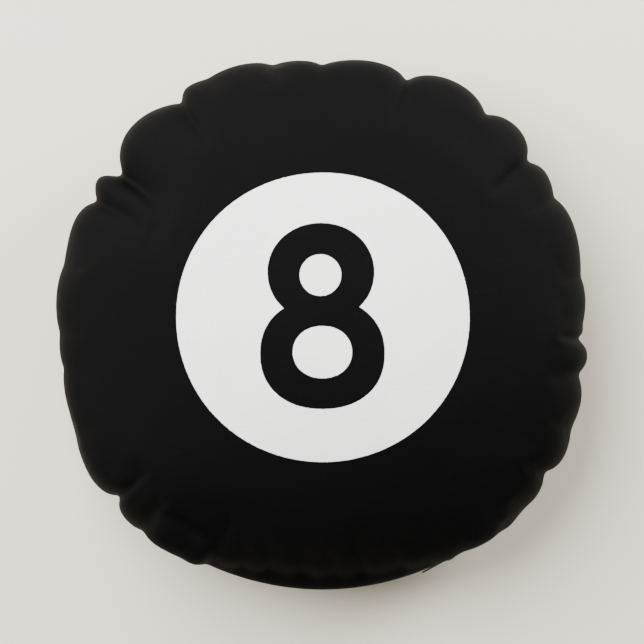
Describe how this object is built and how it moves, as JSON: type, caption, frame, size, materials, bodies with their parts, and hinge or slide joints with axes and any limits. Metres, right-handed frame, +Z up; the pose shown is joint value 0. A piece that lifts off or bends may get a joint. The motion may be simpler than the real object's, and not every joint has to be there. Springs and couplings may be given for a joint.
{
  "type": "round throw pillow",
  "caption": "Round stuffed throw pillow with a knit cover printed as a numbered pool ball, and a hidden zip in its lower edge.",
  "frame": {"origin": "centre of the flat patch on which the pillow lies, at the lowest point of its back", "axes": "+Z up through the printed face, +Y towards the top of the figure, +X to the right of the figure"},
  "size_m": [0.368, 0.368, 0.1069],
  "materials": {
    "printed_knit": "brushed knit, matt, printed with a white disc and a black figure",
    "black_thread": "matt polyester thread",
    "zip_tape": "woven herringbone tape",
    "zip_nylon": "satin nylon",
    "black_enamel": "gloss black enamel over die-cast zinc",
    "insert_cloth": "plain non-woven, matt",
    "white_thread": "matt polyester thread",
    "label_satin": "satin ribbon, blank",
    "polyester_fibre": "loose crimped fibre"
  },
  "bodies": {
    "pillow": {"cover_front_panel": "printed_knit", "cover_back_panel": "printed_knit", "cover_seam_needle_thread": "black_thread", "cover_seam_bobbin_thread": "black_thread", "cover_edge_overlock": "black_thread", "zip_front_needle_thread": "black_thread", "zip_front_bobbin_thread": "black_thread", "zip_back_needle_thread": "black_thread", "zip_back_bobbin_thread": "black_thread", "zip_closed_end_tack": "black_thread", "zip_open_end_tack": "black_thread", "zip_front_tape": "zip_tape", "zip_back_tape": "zip_tape", "zip_front_coil": "zip_nylon", "zip_back_coil": "zip_nylon", "insert_front_shell": "insert_cloth", "insert_back_shell": "insert_cloth", "insert_seam_needle_thread": "white_thread", "insert_seam_bobbin_thread": "white_thread", "insert_closing_thread": "white_thread", "care_label": "label_satin", "law_label": "label_satin", "fibre_fill": "polyester_fibre"},
    "slider": {"zip_slider": "black_enamel"},
    "pull": {"zip_pull": "black_enamel"}
  },
  "joints": [
    {"name": "slider_travel", "type": "hinge", "parent": "pillow", "child": "slider", "pos_m": [0, 0, 0.05094], "axis": [0, 0, -1], "range_deg": [0, 57.1]},
    {"name": "pull_swing", "type": "hinge", "parent": "slider", "child": "pull", "pos_m": [0.08796, -0.16165, 0.05094], "axis": [0, 0, 1], "range_deg": [0, 180]}
  ]
}
